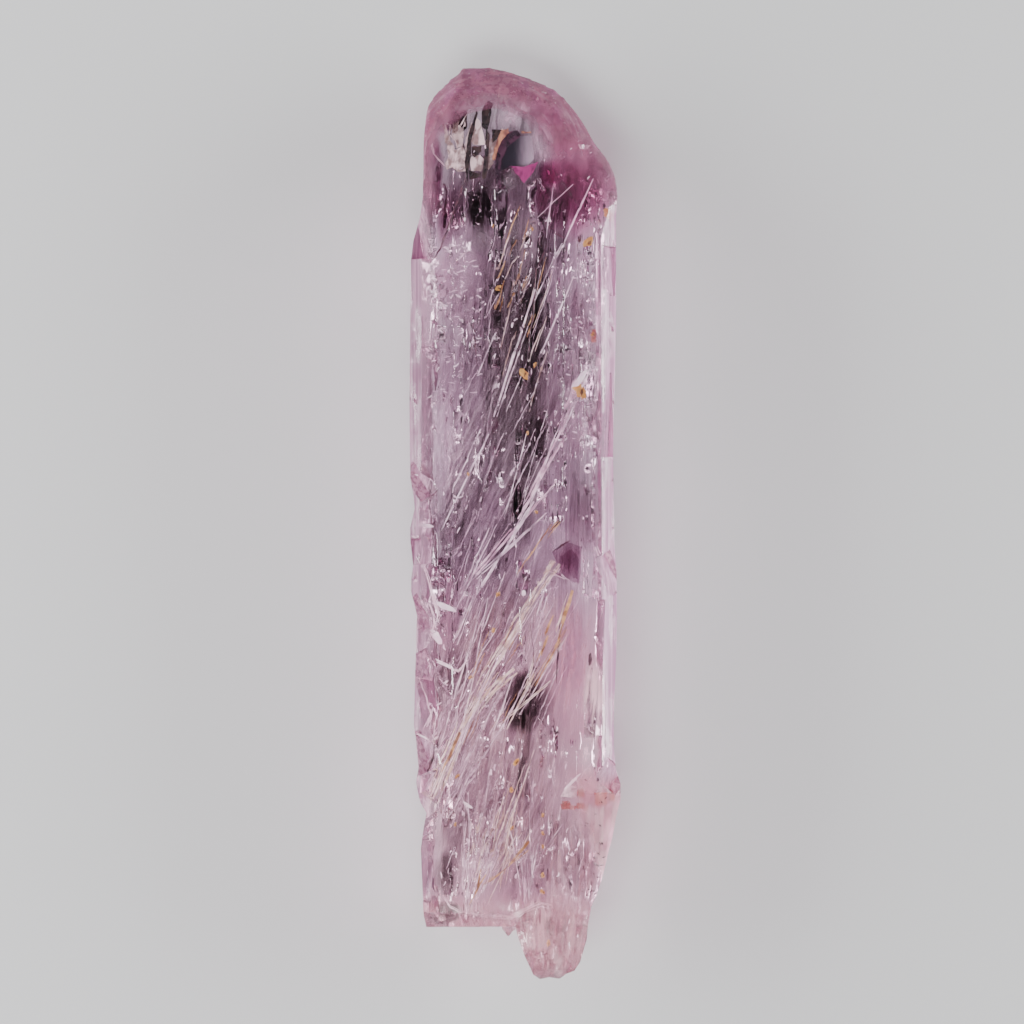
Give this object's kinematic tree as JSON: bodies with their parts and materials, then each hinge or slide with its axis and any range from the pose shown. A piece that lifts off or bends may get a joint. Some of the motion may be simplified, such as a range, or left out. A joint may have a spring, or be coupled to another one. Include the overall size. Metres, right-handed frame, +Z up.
{
  "type": "kunzite crystal",
  "caption": "Flat, striated, see-through pink crystal with a rounded, etched termination and a broken foot with a narrow tongue, lying on its back.",
  "frame": {"origin": "under the middle of the crystal, on the surface that it lies on", "axes": "+X across the broad faces, +Y along the crystal towards its rounded termination, +Z up from the broad back face that it lies on, so that the front face looks up"},
  "size_m": [0.0276, 0.12, 0.013],
  "materials": {
    "kunzite": "etched and striated gem"
  },
  "bodies": {
    "root": {"kunzite_crystal": "kunzite"}
  },
  "joints": []
}
